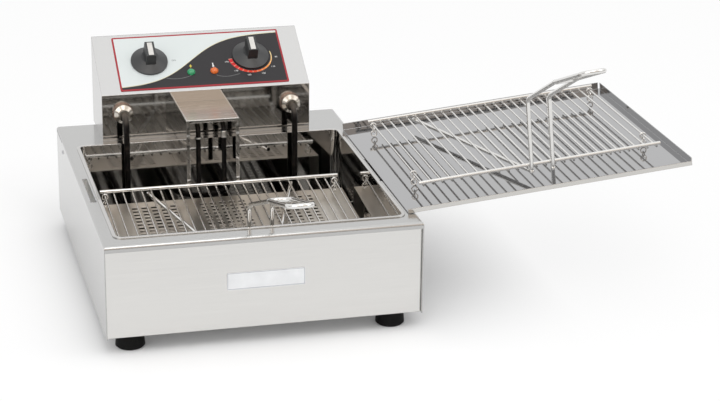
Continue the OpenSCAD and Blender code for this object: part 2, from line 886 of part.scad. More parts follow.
// Frame of the sloping screen: Y back from below the frying rack's rear rail, Z up from the plate
module on_screen() {
  translate([0, rack_back_y, screen_z]) rotate([screen_slope, 0, 0]) children();
}

// Crumb screen: a slotted plate with a notch round the guard, on folded legs over the element
module crumb_screen() {
  leg_y = [-screen_front_l, screen_back_reach - screen_leg_w];
  leg_stock = screen_z + screen_back_reach - screen_leg_z;
  first_row = -(screen_front_l + (slot_rows - 1)*slot_pitch_y)/2;
  color(mirror_steel) {
    on_screen() translate([0, 0, -sheet]) linear_extrude(sheet) difference() {
      translate([-screen_w/2, -screen_front_l]) square([screen_w, screen_front_l + screen_back_reach]);
      for (f = [0 : fields - 1], c = [0 : slot_cols - 1], r = [0 : slot_rows - 1])
        translate([
          (f - (fields - 1)/2)*field_pitch + (c - (slot_cols - 1)/2)*slot_pitch_x,
          first_row + r*slot_pitch_y
        ]) square([slot_l, slot_w], center = true);
    }
    intersection() {
      on_screen() for (sx = [-1, 1], y = leg_y)
        translate([sx*(screen_w - sheet)/2 - sheet/2, y, -leg_stock])
          cube([sheet, screen_leg_w, leg_stock]);
      box(tank_w, 0, body_d, screen_leg_z, deck_z);
    }
  }
}

// Rack frame: X from the rack's middle, Y back from the front rail, Z up from what the rack stands on
module rack_grid() {
  for (y = [0, rack_l])
    translate([-rack_w/2, y, stand_h]) rotate([0, 90, 0]) cylinder(d = rail_d, h = rack_w);
  for (i = [0 : wire_gaps])
    translate([-rack_w/2 + wire_inset + i*wire_pitch, -wire_end, wire_z]) rotate([-90, 0, 0])
      cylinder(d = wire_d, h = rack_l + 2*wire_end);
}

// One side of the handle: brace under the grid, leg in front of the rail and rising bar
module handle_side(sx) {
  foot = [sx*leg_x_rack, handle_y, brace_z];
  knee = [sx*leg_x_rack, handle_y, stand_h + leg_h];
  bar([sx*brace_half, rack_l, brace_z], foot, handle_d);
  translate(foot) sphere(d = ball_d);
  bar(foot, knee + [0, 0, lap], handle_d);
  translate(knee) mirror([0, 1, 0]) tube_bend(leg_bend_r, handle_d, 90 - bar_angle);
  bar(bar_start(sx) - lap*bar_way, bar_end(sx), handle_d);
  translate(bar_end(sx)) sphere(d = knot_d);
}

bar_way = [0, -cos(bar_angle), sin(bar_angle)];

function bar_start(sx) = [sx*leg_x_rack, handle_y - leg_bend_r*(1 - sin(bar_angle)),
  stand_h + leg_h + leg_bend_r*cos(bar_angle)];
function bar_end(sx) = bar_start(sx) + bar_l*bar_way;

// Handle: its two sides end in a closed hand loop
module rack_handle() {
  for (sx = [-1, 1]) handle_side(sx);
  translate(bar_end(0)) rotate([180 - hand_angle, 0, 0]) {
    for (sx = [-1, 1])
      translate([sx*leg_x_rack, -lap, 0]) rotate([-90, 0, 0]) cylinder(d = handle_d, h = hand_l + 2*lap);
    translate([0, hand_l, 0]) tube_turn(leg_x_rack, handle_d);
    rotate([0, 0, 180]) tube_turn(leg_x_rack, handle_d);
  }
}

// Short run of links that hangs from the outermost wire and reaches down to what the rack stands on
module foot_links() {
  step = 2*link_r - link_d - fit;
  for (i = [0 : link_count - 1])
    translate([0, 0, link_r + link_d/2 + (link_count - 1 - i)*step])
      rotate([0, 90, i % 2 == 0 ? 90 : 0])
        rotate_extrude() translate([link_r, 0]) circle(d = link_d);
}

module rack_links() {
  for (sx = [-1, 1], y = [link_front_y, rack_l - link_back_gap])
    translate([sx*(rack_w/2 - wire_inset), y, 0]) foot_links();
}

module in_tank() {
  on_screen() translate([0, -rack_l, fit]) children();
}

module fry_rack_grid() {
  color(mirror_steel) in_tank() rack_grid();
}

module fry_rack_handle() {
  color(mirror_steel) in_tank() rack_handle();
}

module fry_rack_links() {
  color(mirror_steel) in_tank() rack_links();
}

// Tray frame: X out along the sloping tray from its left edge, Y back from its front, Z up from its underside
module on_tray() {
  translate([tray_x, tray_y, deck_z + fit]) rotate([0, -tray_tilt, 0]) children();
}

module drain_tray() {
  hook_y = hook_slot_y + (hook_slot_l - hook_l)/2;
  color(mirror_steel) {
    on_tray() {
      cube([tray_l, tray_w, sheet]);
      cube([tray_l, sheet, sheet + tray_front_lip_h]);
      translate([0, tray_w - sheet, 0]) cube([tray_l - corner_gap, sheet, sheet + tray_lip_h]);
      translate([tray_l - sheet, 0, 0]) cube([sheet, tray_w - corner_gap, sheet + tray_lip_h]);
    }
    translate([hook_x - hook_t/2, hook_y, deck_z - hook_drop])
      cube([hook_t, hook_l, hook_drop + fit + sheet]);
  }
}

// Stay under the tray: a foot along the tray's underside and a leg that bears on the right side panel
module tray_stay() {
  x0 = body_w/2 + fit;
  top = (x0 + stay_t - tray_x)*tan(tray_tilt);
  y0 = tray_y + (tray_w - stay_l)/2;
  color(mirror_steel) {
    translate([x0, y0, deck_z + fit - stay_h]) cube([stay_t, stay_l, stay_h + top - stay_t]);
    on_tray() translate([(x0 - tray_x)/cos(tray_tilt), (tray_w - stay_l)/2, -stay_t - fit/2])
      cube([stay_foot, stay_l, stay_t]);
  }
}

module on_tray_floor() {
  on_tray() translate([tray_l/2, drain_rack_y, sheet + fit]) children();
}

module drain_rack_grid() {
  color(mirror_steel) on_tray_floor() rack_grid();
}

module drain_rack_handle() {
  color(mirror_steel) on_tray_floor() rack_handle();
}

module drain_rack_links() {
  color(mirror_steel) on_tray_floor() rack_links();
}

place() casing();
place() hook_pockets();
place() front_panel();
place() rear_panel();
place() base_pan();
place() feet();
place() foot_screws();
place() tank();
place() head_casing();
place() head_rear_cover();
place() cable_gland();
place() fascia_panel();
place() control_nuts();
place() switch_body();
place() switch_spindle();
place() switch_knob();
place() switch_pointer();
place() thermostat_body();
place() thermostat_spindle();
place() thermostat_knob();
place() thermostat_pointer();
place() green_lamp();
place() amber_lamp();
place() lamp_bodies();
place() safety_cutout();
place() terminal_block();
place() heating_element();
place() element_glands();
place() gland_washers();
place() probe_guard();
place() thermostat_probe();
place() cutout_probe();
place() crumb_screen();
place() fry_rack_grid();
place() fry_rack_handle();
place() fry_rack_links();
place() drain_tray();
place() tray_stay();
place() drain_rack_grid();
place() drain_rack_handle();
place() drain_rack_links();
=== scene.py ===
# %% [markdown]
# # A countertop doughnut fryer
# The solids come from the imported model: body, tank, control head, racks and tray. This lesson
# dresses them: it sets the camera, gives each solid a finish, adds the small pieces that a
# catalogue picture shows, and lights the whole on a pale floor. Every length is in metres, in the
# frame of the solids.

# %% Load the frame
import math

import bmesh
import bpy
from mathutils import Matrix, Vector
from mathutils.geometry import interpolate_bezier


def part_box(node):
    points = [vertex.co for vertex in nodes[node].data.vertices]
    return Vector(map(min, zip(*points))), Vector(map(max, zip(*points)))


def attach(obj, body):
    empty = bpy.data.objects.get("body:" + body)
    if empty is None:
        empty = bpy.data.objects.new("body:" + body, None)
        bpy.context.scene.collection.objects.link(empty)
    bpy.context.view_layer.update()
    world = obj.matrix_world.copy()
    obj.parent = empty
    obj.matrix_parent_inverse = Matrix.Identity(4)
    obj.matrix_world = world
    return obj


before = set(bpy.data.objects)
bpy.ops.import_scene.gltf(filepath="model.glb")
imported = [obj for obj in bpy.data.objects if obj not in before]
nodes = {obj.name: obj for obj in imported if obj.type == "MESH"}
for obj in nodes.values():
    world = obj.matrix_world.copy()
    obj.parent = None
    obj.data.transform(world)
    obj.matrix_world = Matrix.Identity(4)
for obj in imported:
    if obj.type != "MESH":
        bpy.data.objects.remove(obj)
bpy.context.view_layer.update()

# %% [markdown]
# ## Camera
# The view was worked out from the object's own straight edges: a long lens, a little from the left
# and looking down. A camera looks along its own -Z, so its matrix has the right, up and backward
# directions as columns. The frame's middle is not the body's middle, so the body's places are
# found from its box.

# %% Camera
MM = 0.001
PICTURE_PIXELS = 720
FOCAL_PIXELS = 2149.7
SENSOR_MM = 36
TURN, TILT, ROLL = math.radians(14.50), math.radians(19.96), math.radians(0.707)
CAMERA_MM = (-542.8, -2584.9, 1163.8)

casing_lo, casing_hi = (Vector(corner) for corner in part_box("casing"))
body_mid, body_half = (casing_lo + casing_hi) / 2, (casing_hi - casing_lo) / 2


def place(x, y, z):
    """A point given in millimetres from the middle of the body's front lip, at table level."""
    return Vector((body_mid.x + x * MM, casing_lo.y + y * MM, z * MM))


forward = Vector((math.sin(TURN), math.cos(TURN), -math.tan(TILT))).normalized()
level = Vector((math.cos(TURN), -math.sin(TURN), 0))
right = math.cos(ROLL) * level + math.sin(ROLL) * level.cross(forward)
up = right.cross(forward)

camera = bpy.data.objects.new("camera", bpy.data.cameras.new("camera"))
bpy.context.collection.objects.link(camera)
camera.data.sensor_width = SENSOR_MM
camera.data.lens = FOCAL_PIXELS * SENSOR_MM / PICTURE_PIXELS
pose = Matrix((right, up, -forward)).transposed().to_4x4()
pose.translation = place(*CAMERA_MM)
camera.matrix_world = pose
bpy.context.scene.camera = camera
print("lens", round(camera.data.lens, 1), "mm")

# %% [markdown]
# ## Writing finishes as expressions
# A finish is a small program of shader nodes. Wrapping a socket in a class with operators lets the
# maths read as maths: `1 - mask` adds the Math node by itself. Colours go through Mix nodes,
# because a Math node would turn them grey. A `Graph` is any node tree, with one method that adds a
# node to it, so the world's light can be written the same way. A `Finish` is the graph of a
# material.


# %% Sockets with operators
class Wire:
    """One output socket of a graph, usable in sums."""

    def __init__(self, graph, socket):
        self.graph, self.socket = graph, socket

    def math(self, operation, *values):
        return self.graph.node("ShaderNodeMath", {"operation": operation}, dict(enumerate(values)))

    def __add__(self, other):
        return self.math("ADD", self, other)

    def __sub__(self, other):
        return self.math("SUBTRACT", self, other)

    def __mul__(self, other):
        return self.math("MULTIPLY", self, other)

    def __truediv__(self, other):
        return self.math("DIVIDE", self, other)

    def __radd__(self, other):
        return self.math("ADD", other, self)

    def __rsub__(self, other):
        return self.math("SUBTRACT", other, self)

    def __rmul__(self, other):
        return self.math("MULTIPLY", other, self)

    def __lt__(self, other):
        return self.math("LESS_THAN", self, other)

    def __gt__(self, other):
        return self.math("GREATER_THAN", self, other)

    def size(self):
        return self.math("ABSOLUTE", self)

    def least(self, other):
        return self.math("MINIMUM", self, other)

    def most(self, other):
        return self.math("MAXIMUM", self, other)

    def rise(self, start, end):
        """Nothing up to the start, one from the end on, and an even rise between them."""
        return ((self - start) / (end - start)).least(1.0).most(0.0)


class Graph:
    """A node tree, with one method that adds any node to it."""

    def __init__(self, tree):
        self.tree = tree

    def node(self, kind, settings=None, inputs=None, output=0):
        made = self.tree.nodes.new(kind)
        for label, value in (settings or {}).items():
            if label == "stops":
                while len(made.color_ramp.elements) < len(value):
                    made.color_ramp.elements.new(0.5)
                for element, (position, colour) in zip(made.color_ramp.elements, value):
                    element.position, element.color = position, (*colour, 1)
            else:
                setattr(made, label, value)
        for label, value in (inputs or {}).items():
            if isinstance(value, Wire):
                self.tree.links.new(value.socket, made.inputs[label])
            else:
                made.inputs[label].default_value = value
        return Wire(self, made.outputs[output])

    def outputs(self, kind, inputs=None):
        made = self.node(kind, {}, inputs).socket.node
        return [Wire(self, socket) for socket in made.outputs]

    def mix(self, factor, low, high):
        return self.node("ShaderNodeMix", {"data_type": "RGBA"}, {0: factor, 6: low, 7: high}, 2)

    def ramp(self, factor, stops):
        return self.node("ShaderNodeValToRGB", {"stops": stops}, {0: factor})

    def seen_rays(self):
        """Two masks: rays from the eye, and those with the rays off a mirror or through glass."""
        eye, _, _, glossy, _, _, through, *_ = self.outputs("ShaderNodeLightPath")
        return eye, eye.most(glossy).most(through)


def rgb(red, green, blue):
    return (red, green, blue, 1)


def shade(tint, share):
    return rgb(*[share * c for c in tint])


class Finish(Graph):
    """The graph of a material and its Principled shader."""

    def __init__(self, name, **constants):
        self.material = bpy.data.materials.new(name)
        self.material.use_nodes = True
        super().__init__(self.material.node_tree)
        self.shader = self.tree.nodes["Principled BSDF"]
        for label, value in constants.items():
            self.shader.inputs[label.replace("_", " ")].default_value = value

    def feed(self, label, wire):
        self.tree.links.new(wire.socket, self.shader.inputs[label])

    def tones(self, factor, tint, darkest, lightest):
        """Feed a tint that the factor takes from its darkest share to its lightest."""
        self.feed("Base Color", self.mix(factor, shade(tint, darkest), shade(tint, lightest)))

    def where(self):
        return self.node("ShaderNodeTexCoord", output="Object")

    def axes(self):
        return self.outputs("ShaderNodeSeparateXYZ", {0: self.where()})

    def stretched(self, scale):
        inputs = {0: self.where(), 1: scale}
        return self.node("ShaderNodeVectorMath", {"operation": "MULTIPLY"}, inputs)

    def noise(self, scale, detail=3.0, vector=None):
        inputs = {"Vector": vector or self.where(), "Scale": scale, "Detail": detail}
        return self.node("ShaderNodeTexNoise", {}, inputs, "Fac")

    def bump(self, height, strength, distance, edge=0.0):
        """Surface relief, over edges that are softened by a radius so that they catch the light."""
        inputs = {"Strength": strength, "Distance": distance, "Height": height}
        if edge:
            inputs["Normal"] = self.node("ShaderNodeBevel", {"samples": 6}, {"Radius": edge})
        self.feed("Normal", self.node("ShaderNodeBump", {}, inputs))


print("finish writer ready")

# %% [markdown]
# ## Steel
# Three kinds of steel meet here. The casing and the screen are sheet with a fine drawn grain, so
# its noise is stretched along the width and touches colour, roughness and bump only lightly. The
# tank is polished almost to a mirror, with a slow waviness that bends reflections as thin sheet
# does. The racks are bright drawn wire. Sheet edges are not sharp: a bevel of about a millimetre
# in the shading gives them their bright line.

# %% Steel finishes
EDGE = 1.3 * MM
RELIEF = 0.3 * MM
WAVINESS = 2 * MM
MIRROR = 0.045
WIDTHWAYS, FINER_WIDTHWAYS, ALL_WAYS = (18, 900, 900), (14, 1000, 1000), (300, 300, 300)


def grained_steel(name, tint, rough, grain=WIDTHWAYS):
    finish = Finish(name, Metallic=1.0)
    lines = finish.noise(1.0, detail=4.0, vector=finish.stretched(grain))
    smears = finish.noise(9.0)
    finish.tones(lines, tint, darkest=0.94, lightest=1.03)
    finish.feed("Roughness", rough - 0.03 + 0.05 * lines + 0.05 * smears)
    finish.bump(lines, strength=0.05, distance=RELIEF, edge=EDGE)
    return finish.material


def polished_steel(name, tint, rough):
    finish = Finish(name, Metallic=1.0)
    smears = finish.noise(14.0)
    waves = finish.noise(7.0, detail=1.0)
    finish.tones(smears, tint, darkest=0.95, lightest=1.03)
    finish.feed("Roughness", rough - 0.015 + 0.04 * smears)
    finish.bump(waves, strength=0.03, distance=WAVINESS, edge=EDGE)
    return finish.material


def drawn_wire(name, tint):
    finish = Finish(name, Metallic=1.0)
    dull = finish.noise(160.0)
    finish.tones(dull, tint, darkest=0.88, lightest=1.0)
    finish.feed("Roughness", 0.08 + 0.10 * dull)
    return finish.material


casing_steel = grained_steel("casing_steel", (0.50, 0.498, 0.491), rough=0.15)
panel_steel = grained_steel("panel_steel", (0.70, 0.692, 0.674), 0.17, FINER_WIDTHWAYS)
screen_steel = grained_steel("screen_steel", (0.60, 0.565, 0.515), rough=0.28)
# Painted light: the shaded hook pockets get a near-white tint so that they read as lit.
pocket_painted_light = grained_steel("pocket_painted_light", (0.90, 0.90, 0.89), 0.45, ALL_WAYS)
tank_steel = polished_steel("tank_steel", (0.54, 0.53, 0.515), rough=MIRROR)
rack_wire = drawn_wire("rack_wire", (0.78, 0.77, 0.75))
plated_steel = drawn_wire("plated_steel", (0.62, 0.62, 0.63))
print("steel finishes:", casing_steel.name, tank_steel.name, rack_wire.name)

# %% [markdown]
# Three folded sheets have two looks each. The control head has a grained top and an upright face
# polished like the tank. The guard over the probes is polished too, but its top is satin, with a
# warm tint that is painted reflection, inside a painted highlight along its rim. The tray is
# polished, with a satin front lip whose lighter tint is a painted highlight. A mask from the
# coordinates tells the looks apart: only the face lies at the head's front, only the top at the
# guard's top, and only the lip at the tray's front.

# %% Sheets with two looks
SKIN = 0.2 * MM
LIP_SKIN = 0.3 * MM
RIM = 1.8 * MM
RIM_HIGHLIGHT_TINT = rgb(0.98, 0.95, 0.91)
head_lo = Vector(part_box("head_casing")[0])
guard_lo, guard_hi = (Vector(corner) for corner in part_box("probe_guard"))
guard_mid, guard_half = (guard_lo + guard_hi) / 2, (guard_hi - guard_lo) / 2
tray_lo = Vector(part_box("drain_tray")[0])


def two_look_steel(name, satin, polished, rough, polished_where, highlight_rim_where=None):
    finish = Finish(name, Metallic=1.0)
    axes = finish.axes()
    bright = polished_where(*axes)
    lines = finish.noise(1.0, detail=4.0, vector=finish.stretched(WIDTHWAYS))
    tint = rgb(*satin)
    # Painted highlight: near the top's edges the tint turns to a bright rim colour.
    if highlight_rim_where:
        tint = finish.mix(highlight_rim_where(*axes), tint, RIM_HIGHLIGHT_TINT)
    finish.feed("Base Color", finish.mix(bright, tint, rgb(*polished)))
    finish.feed("Roughness", (rough + 0.08 * lines) * (1 - bright) + MIRROR * bright)
    finish.bump(lines * (1 - bright), strength=0.06, distance=RELIEF, edge=EDGE)
    return finish.material


# Painted highlight: a band along the edges of the guard's top.
def painted_guard_rim_highlight(x, y, z):
    return ((x - guard_mid.x).size() - guard_half.x).most(guard_lo.y - y) > -RIM


head_steel = two_look_steel(
    "head_steel", satin=(0.62, 0.617, 0.61), polished=(0.50, 0.49, 0.475), rough=0.22,
    polished_where=lambda x, y, z: y < head_lo.y + SKIN)
# The guard top's warm satin tint is painted reflection, and its rim is a painted highlight.
guard_steel = two_look_steel(
    "guard_steel", satin=(0.76, 0.67, 0.58), polished=(0.58, 0.57, 0.555), rough=0.22,
    polished_where=lambda x, y, z: z < guard_hi.z - SKIN, highlight_rim_where=painted_guard_rim_highlight)
# The lip's lighter satin tint is a painted highlight along the tray's front edge.
tray_steel = two_look_steel(
    "tray_steel", satin=(0.60, 0.585, 0.56), polished=(0.41, 0.41, 0.415), rough=0.12,
    polished_where=lambda x, y, z: y > tray_lo.y + LIP_SKIN)
print("head face at y =", round(head_lo.y, 4), "guard top at z =", round(guard_hi.z, 4))

# %% [markdown]
# ## Rubber, plastic, element and fittings
# Dark pieces need their own small texture or they read as holes: a fine grain in moulded plastic
# and rubber, a scorched mottle on the element's tube, and specks of tone on the glands.

# %% Dark and small finishes
CLEAN_FROM, CLEAN_TO = 190 * MM, 214 * MM
SOOT = [(0.3, (0.006, 0.006, 0.006)), (0.55, (0.018, 0.016, 0.015)), (0.8, (0.05, 0.04, 0.033))]
DARK_BRONZE, LIGHT_BRONZE = rgb(0.10, 0.085, 0.072), rgb(0.26, 0.22, 0.18)


def moulded(name, tint, rough, relief=0.15, shine=0.25):
    finish = Finish(name, Specular_IOR_Level=shine)
    grains = finish.noise(900.0, detail=2.0)
    cloud = finish.noise(30.0)
    finish.tones(cloud, tint, darkest=0.8, lightest=1.15)
    finish.feed("Roughness", rough - 0.06 + 0.12 * cloud)
    finish.bump(grains, strength=relief, distance=RELIEF)
    return finish.material


def scorched_tube(name):
    """Black where the oil has cooked on it, and a bronze grey further up, near the fittings."""
    finish = Finish(name, Metallic=0.7, Specular_IOR_Level=0.12)
    *_, z = finish.axes()
    mottle = finish.noise(120.0, detail=5.0)
    black = finish.ramp(mottle, SOOT)
    bronze = finish.mix(mottle, DARK_BRONZE, LIGHT_BRONZE)
    finish.feed("Base Color", finish.mix(z.rise(CLEAN_FROM, CLEAN_TO), black, bronze))
    finish.feed("Roughness", 0.30 + 0.22 * mottle)
    finish.bump(mottle, strength=0.12, distance=RELIEF)
    return finish.material


def turned_metal(name, tint, rough):
    finish = Finish(name, Metallic=1.0)
    tone = finish.noise(220.0)
    finish.tones(tone, tint, darkest=0.78, lightest=1.0)
    finish.feed("Roughness", rough + 0.12 * tone)
    return finish.material


def lens(name, tint):
    finish = Finish(name, Coat_Weight=0.6, Roughness=0.12)
    finish.tones(finish.noise(400.0), tint, darkest=0.7, lightest=1.0)
    return finish.material


foot_rubber = moulded("foot_rubber", (0.008, 0.008, 0.008), rough=0.62, shine=0.1)
knob_plastic = moulded("knob_plastic", (0.018, 0.019, 0.020), rough=0.40, shine=0.75)
cream_plastic = moulded("cream_plastic", (0.62, 0.57, 0.46), rough=0.5)
element_tube = scorched_tube("element_tube")
gland_metal = turned_metal("gland_metal", (0.66, 0.62, 0.56), rough=0.12)
washer_metal = turned_metal("washer_metal", (0.52, 0.40, 0.35), rough=0.20)
pointer_metal = turned_metal("pointer_metal", (0.78, 0.76, 0.72), rough=0.3)
green_lens = lens("green_lens", (0.02, 0.36, 0.14))
amber_lens = lens("amber_lens", (0.85, 0.16, 0.01))
print("dark and small finishes made")

# %% [markdown]
# ## The printed panel
# The fascia is a printed sheet: pale on the upper left, charcoal on the lower right, a slow
# S-curve with a cream line between them, and a red border. The curve is a hyperbolic tangent. The
# dial's arc is a band about the right knob that runs from broad and red on the left to thin and
# cream on the right. All of it is worked out from the distance across and up the slope, so the
# print stays on the panel from any view.

# %% Fascia print
panel_lo, panel_hi = (Vector(corner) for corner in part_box("fascia_panel"))
panel_mid = (panel_lo + panel_hi) / 2
SLOPE = math.atan2(62, 103)
PANEL_UP = Vector((0, math.cos(SLOPE), math.sin(SLOPE)))
PANEL_OUT = Vector((0, -math.sin(SLOPE), math.cos(SLOPE)))
PANEL_WIDTH, PANEL_LENGTH, PANEL_BORDER = 254 * MM, 108 * MM, 2.6 * MM
PANEL_HALF_THICK = 0.4 * MM
PALE, CHARCOAL = rgb(0.68, 0.72, 0.71), rgb(0.034, 0.032, 0.034)
CREAM, BORDER_RED = rgb(0.70, 0.66, 0.48), rgb(0.38, 0.032, 0.042)
CURVE_MIDDLE, CURVE_REACH, CURVE_RISE, CURVE_LINE = -14 * MM, 56 * MM, 48.5 * MM, 0.7 * MM
KNOB_ACROSS, KNOB_UP = 77 * MM, 1.5 * MM
DIAL_RADIUS, DIAL_BROAD, DIAL_THIN = 31.8 * MM, 2.9 * MM, 0.6 * MM
DIAL_START, DIAL_SWEEP, DIAL_STEPS = math.radians(-84), math.radians(188), 14
STEP_WIDTH, STEP_STRENGTH = 0.12, 0.55
HEAT = [(0.0, (0.62, 0.02, 0.03)), (0.45, (0.70, 0.06, 0.03)),
        (0.7, (0.80, 0.30, 0.06)), (1.0, (0.85, 0.72, 0.38))]


def on_panel(across, along, lift=0.0):
    """A point on the printed face: across and up the slope from its middle, lifted off it."""
    out = (PANEL_HALF_THICK + lift) * PANEL_OUT
    return panel_mid + Vector((across, 0, 0)) + along * PANEL_UP + out


def fascia_finish():
    finish = Finish("fascia_print", Roughness=0.36, Specular_IOR_Level=0.22)
    x, y, z = finish.axes()
    across = x - panel_mid.x
    along = (y - panel_mid.y) * PANEL_UP.y + (z - panel_mid.z) * PANEL_UP.z

    sweep = (across - CURVE_MIDDLE) / CURVE_REACH
    curve = along - sweep.math("TANH", sweep) * CURVE_RISE
    ground = finish.mix(curve < 0, PALE, CHARCOAL)
    ground = finish.mix(curve.size() < CURVE_LINE, ground, CREAM)

    dial_x, dial_y = across - KNOB_ACROSS, along - KNOB_UP
    squares = dial_x * dial_x + dial_y * dial_y
    radius = squares.math("SQRT", squares)
    share = (dial_x.math("ARCTAN2", dial_x, 0 - dial_y) - DIAL_START) / DIAL_SWEEP
    half_band = DIAL_BROAD - (DIAL_BROAD - DIAL_THIN) * share
    band = (share > 0) * (share < 1) * ((radius - DIAL_RADIUS).size() < half_band)
    steps = share * DIAL_STEPS
    step_lines = (steps.math("FRACT", steps) < STEP_WIDTH) * STEP_STRENGTH
    ground = finish.mix(band, ground, finish.mix(step_lines, finish.ramp(share, HEAT), CREAM))

    past_side = across.size() - (PANEL_WIDTH / 2 - PANEL_BORDER)
    past_end = along.size() - (PANEL_LENGTH / 2 - PANEL_BORDER)
    finish.feed("Base Color", finish.mix(past_side.most(past_end) > 0, ground, BORDER_RED))
    finish.bump(finish.noise(700.0, detail=2.0), strength=0.04, distance=0.2 * MM)
    return finish.material


fascia_print = fascia_finish()
print("panel middle", [round(c, 4) for c in panel_mid])

# %% [markdown]
# ## Giving each solid its finish
# One table says which finish each solid wears. Anything not in it would keep its imported plain
# grey, so the loop stops on a name that is missing.

# %% Dress the solids
WEARS = {
    pocket_painted_light: ["hook_pockets"],
    casing_steel: ["casing", "rear_panel", "base_pan", "head_rear_cover"],
    panel_steel: ["front_panel"],
    head_steel: ["head_casing"],
    guard_steel: ["probe_guard"],
    tank_steel: ["tank"],
    screen_steel: ["crumb_screen"],
    tray_steel: ["drain_tray", "tray_stay"],
    rack_wire: ["fry_rack_grid", "fry_rack_handle", "fry_rack_links",
                "drain_rack_grid", "drain_rack_handle", "drain_rack_links"],
    plated_steel: ["foot_screws", "control_nuts", "switch_spindle", "thermostat_spindle"],
    foot_rubber: ["feet"],
    knob_plastic: ["switch_knob", "thermostat_knob", "cable_gland"],
    pointer_metal: ["switch_pointer", "thermostat_pointer"],
    fascia_print: ["fascia_panel"],
    cream_plastic: ["switch_body", "thermostat_body", "lamp_bodies",
                    "safety_cutout", "terminal_block"],
    element_tube: ["heating_element", "thermostat_probe", "cutout_probe"],
    gland_metal: ["element_glands"],
    washer_metal: ["gland_washers"],
    green_lens: ["green_lamp"],
    amber_lens: ["amber_lamp"],
}
finish_of = {name: finish for finish, names in WEARS.items() for name in names}
for name, solid in nodes.items():
    solid.data.materials.clear()
    solid.data.materials.append(finish_of[name])
print("dressed", len(nodes), "solids")

# %% [markdown]
# ## Small pieces
# Each small piece is a bmesh that ends as an object at the origin, with its place in its vertices.
# One helper does the closing steps that are the same for all: merge, point the faces outwards,
# make the object, give it its finish, and let it ride on its body.

# %% Finishing a piece
MERGE = 1e-6


def finish_piece(bm, name, material, body, slot, *more):
    bmesh.ops.remove_doubles(bm, verts=bm.verts, dist=MERGE)
    bmesh.ops.recalc_face_normals(bm, faces=bm.faces)
    mesh = bpy.data.meshes.new(name)
    bm.to_mesh(mesh)
    bm.free()
    for each in (material, *more):
        mesh.materials.append(each)
    piece = bpy.data.objects.new(name, mesh)
    bpy.context.collection.objects.link(piece)
    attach(piece, body)
    return piece


def frame_at(origin, out, along):
    """A matrix whose Z points out of a surface and whose Y lies along it."""
    z = out.normalized()
    y = (along - along.dot(z) * z).normalized()
    turn_to = Matrix((y.cross(z), y, z)).transposed().to_4x4()
    turn_to.translation = origin
    return turn_to


print("piece helpers ready")

# %% [markdown]
# ### Front plate
# A thin bare plate sits in the middle of the front panel. It is a box with rounded corners.
# Insetting its face gives the shallow rim that such plates are pressed with, and the rim takes a
# darker second finish.

# %% Front plate
PLATE_WIDTH, PLATE_THICK, PLATE_HEIGHT = 106 * MM, 0.9 * MM, 24 * MM
PLATE_Z, PLATE_CORNER = 92 * MM, 1.6 * MM
PLATE_EDGE, PLATE_RIM, PLATE_SUNK = 0.5 * MM, 0.8 * MM, 0.25 * MM


def front_plate():
    front = Vector(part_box("front_panel")[0]).y
    bm = bmesh.new()
    bmesh.ops.create_cube(bm, size=1.0)
    bmesh.ops.scale(bm, vec=(PLATE_WIDTH, PLATE_THICK, PLATE_HEIGHT), verts=bm.verts)
    short_edges = [edge for edge in bm.edges
                   if abs(edge.verts[0].co.y - edge.verts[1].co.y) > PLATE_THICK / 2]
    bmesh.ops.bevel(bm, geom=short_edges, offset=PLATE_CORNER, segments=4, profile=0.5,
                    affect="EDGES", material=-1)
    face = min(bm.faces, key=lambda each: each.calc_center_median().y)
    bmesh.ops.inset_region(bm, faces=[face], thickness=PLATE_EDGE)
    rim = bmesh.ops.inset_region(bm, faces=[face], thickness=PLATE_RIM, depth=-PLATE_SUNK)
    for part in rim["faces"]:
        part.material_index = 1
    middle = Vector((body_mid.x, front - PLATE_THICK / 2, PLATE_Z))
    bmesh.ops.translate(bm, vec=middle, verts=bm.verts)
    return finish_piece(bm, "front_plate", plate_paint, "fryer", "satin_steel", plate_rim)


plate_paint = moulded("plate_paint", (0.80, 0.81, 0.82), rough=0.34, relief=0.05)
plate_rim = moulded("plate_rim", (0.42, 0.43, 0.46), rough=0.34, relief=0.05)
print("made", front_plate().name)

# %% [markdown]
# ### Screws
# The sheets are held by low pan-head screws. A disc is raised into a head with sloping sides, and
# its top is inset and pushed in for the driver. New vertices come last in the list, so a slice
# moves only them.

# %% Screws
SCREW_RADIUS, SCREW_HEIGHT = 3.6 * MM, 1.3 * MM
CROWN, DRIVE_INSET, DRIVE_DEPTH = 0.72, 0.34, 0.55
SIDE_MM = 215
BACKWARD, UPWARD = Vector((0, 1, 0)), Vector((0, 0, 1))


def pan_head(bm, at):
    before = len(bm.verts)
    ring = bmesh.ops.create_circle(bm, cap_ends=True, segments=24, radius=SCREW_RADIUS)["verts"]
    disc = list({face for vert in ring for face in vert.link_faces})
    top = bmesh.ops.extrude_face_region(bm, geom=disc)["geom"]
    cap = [part for part in top if isinstance(part, bmesh.types.BMFace)]
    rim = [part for part in top if isinstance(part, bmesh.types.BMVert)]
    bmesh.ops.translate(bm, vec=(0, 0, SCREW_HEIGHT), verts=rim)
    bmesh.ops.scale(bm, vec=(CROWN, CROWN, 1), verts=rim)
    bmesh.ops.inset_region(bm, faces=cap, thickness=SCREW_RADIUS * DRIVE_INSET)
    drive = list({vert for face in cap for vert in face.verts})
    bmesh.ops.translate(bm, vec=(0, 0, -SCREW_HEIGHT * DRIVE_DEPTH), verts=drive)
    bmesh.ops.transform(bm, matrix=at, verts=list(bm.verts)[before:])


